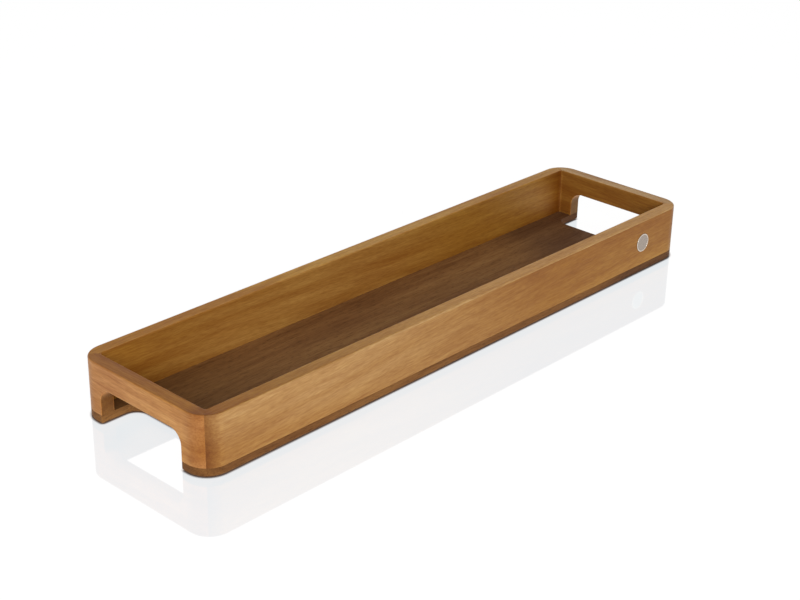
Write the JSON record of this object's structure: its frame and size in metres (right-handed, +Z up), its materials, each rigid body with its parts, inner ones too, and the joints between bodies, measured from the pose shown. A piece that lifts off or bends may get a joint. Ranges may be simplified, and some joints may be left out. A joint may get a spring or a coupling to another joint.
{
  "type": "serving tray",
  "caption": "Long narrow wooden serving tray: mitred light walls with rounded corners on a dark base board, a handle opening with a finger notch at each end.",
  "frame": {"origin": "middle of the underside, on the surface that the tray stands on", "axes": "+X along the length towards the badge's end, -Y to the front wall with the badge, +Z up out of the tray"},
  "size_m": [0.6, 0.1504, 0.052],
  "materials": {
    "wall_wood": "oiled acacia, satin, grain along each wall",
    "dark_wood": "dark-stained, oiled, satin",
    "spline_wood": "planed beech, raw",
    "screw_steel": "bright zinc plated",
    "badge_metal": "turned, satin"
  },
  "bodies": {
    "root": {"base_board": "dark_wood", "front_wall": "wall_wood", "back_wall": "wall_wood", "left_end_wall": "wall_wood", "right_end_wall": "wall_wood", "front_left_spline": "spline_wood", "front_right_spline": "spline_wood", "back_left_spline": "spline_wood", "back_right_spline": "spline_wood", "front_screw_1": "screw_steel", "front_screw_2": "screw_steel", "front_screw_3": "screw_steel", "front_screw_4": "screw_steel", "front_screw_5": "screw_steel", "front_screw_6": "screw_steel", "back_screw_1": "screw_steel", "back_screw_2": "screw_steel", "back_screw_3": "screw_steel", "back_screw_4": "screw_steel", "back_screw_5": "screw_steel", "back_screw_6": "screw_steel", "badge_disc": "badge_metal"}
  },
  "joints": []
}
